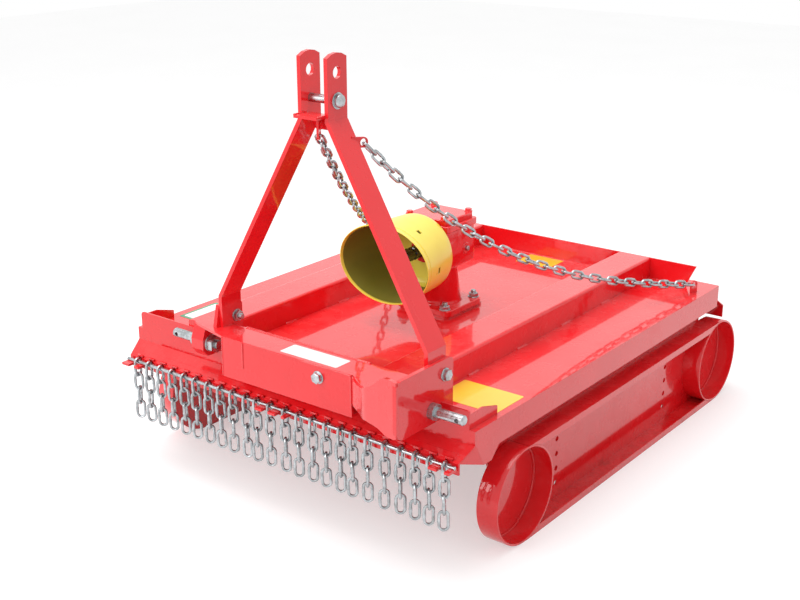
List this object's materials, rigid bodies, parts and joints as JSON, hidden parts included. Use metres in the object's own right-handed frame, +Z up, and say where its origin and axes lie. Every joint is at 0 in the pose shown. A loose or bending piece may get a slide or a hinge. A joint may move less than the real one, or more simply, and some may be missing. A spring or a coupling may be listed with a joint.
{
  "type": "tractor mower deck",
  "caption": "Tractor-mounted rotary mower deck with three-point mast, guarded drive gearbox, ring-ended skids and a hanging chain curtain.",
  "frame": {"origin": "on the ground under the middle of the machine's bounding box", "axes": "+Z up, -Y towards the tractor (working direction), +X to the left of someone who drives the tractor"},
  "size_m": [1.06, 1.442, 1.066],
  "materials": {
    "red_paint": "gloss",
    "zinc": "zinc plated",
    "yellow_guard": "moulded",
    "black_steel": "oiled",
    "dark_steel": "satin"
  },
  "bodies": {
    "deck": {"deck_pan": "red_paint", "deck_rib_right": "red_paint", "deck_rib_left": "red_paint", "front_lip": "red_paint", "rear_wall": "red_paint", "rear_skirt": "red_paint", "side_plate_right": "red_paint", "side_plate_left": "red_paint", "skid_ring_front_right": "red_paint", "skid_ring_front_left": "red_paint", "skid_ring_rear_right": "red_paint", "skid_ring_rear_left": "red_paint", "skid_channel_right": "red_paint", "skid_channel_left": "red_paint", "hitch_ear_right": "red_paint", "hitch_ear_left": "red_paint", "hitch_beam": "red_paint", "mast_bar_right": "red_paint", "mast_bar_left": "red_paint", "mast_gusset": "red_paint", "rod_brackets": "red_paint", "chain_lugs": "red_paint", "gearbox_base": "red_paint", "gearbox_housing": "red_paint", "gearbox_cover": "red_paint", "lower_link_pin_right": "zinc", "lower_link_pin_left": "zinc", "top_link_pin": "zinc", "chain_rod": "zinc", "check_chain_right": "zinc", "check_chain_left": "zinc", "pto_guard": "yellow_guard"},
    "rotor": {"rotor": "dark_steel"},
    "pto": {"pto_shaft": "black_steel"},
    "blade_right": {"blade_right": "dark_steel"},
    "blade_left": {"blade_left": "dark_steel"},
    "curtain": {"chain_curtain": "zinc"}
  },
  "joints": [
    {"name": "rotor_spin", "type": "hinge", "parent": "deck", "child": "rotor", "pos_m": [0, 0.037, 0.2], "axis": [0, 0, 1], "continuous": true},
    {"name": "pto_spin", "type": "hinge", "parent": "deck", "child": "pto", "pos_m": [0, -0.1, 0.505], "axis": [0, 1, 0], "continuous": true},
    {"name": "blade_right_pivot", "type": "hinge", "parent": "rotor", "child": "blade_right", "pos_m": [0.285, 0.037, 0.091], "axis": [0, 0, 1], "continuous": true},
    {"name": "blade_left_pivot", "type": "hinge", "parent": "rotor", "child": "blade_left", "pos_m": [-0.285, 0.037, 0.091], "axis": [0, 0, 1], "continuous": true},
    {"name": "curtain_swing", "type": "hinge", "parent": "deck", "child": "curtain", "pos_m": [0, -0.621, 0.2655], "axis": [-1, 0, 0], "range_deg": [-20, 80]}
  ],
  "couplings": [
    {"joint": "pto_spin", "follows": "rotor_spin", "ratio": 0.518}
  ]
}
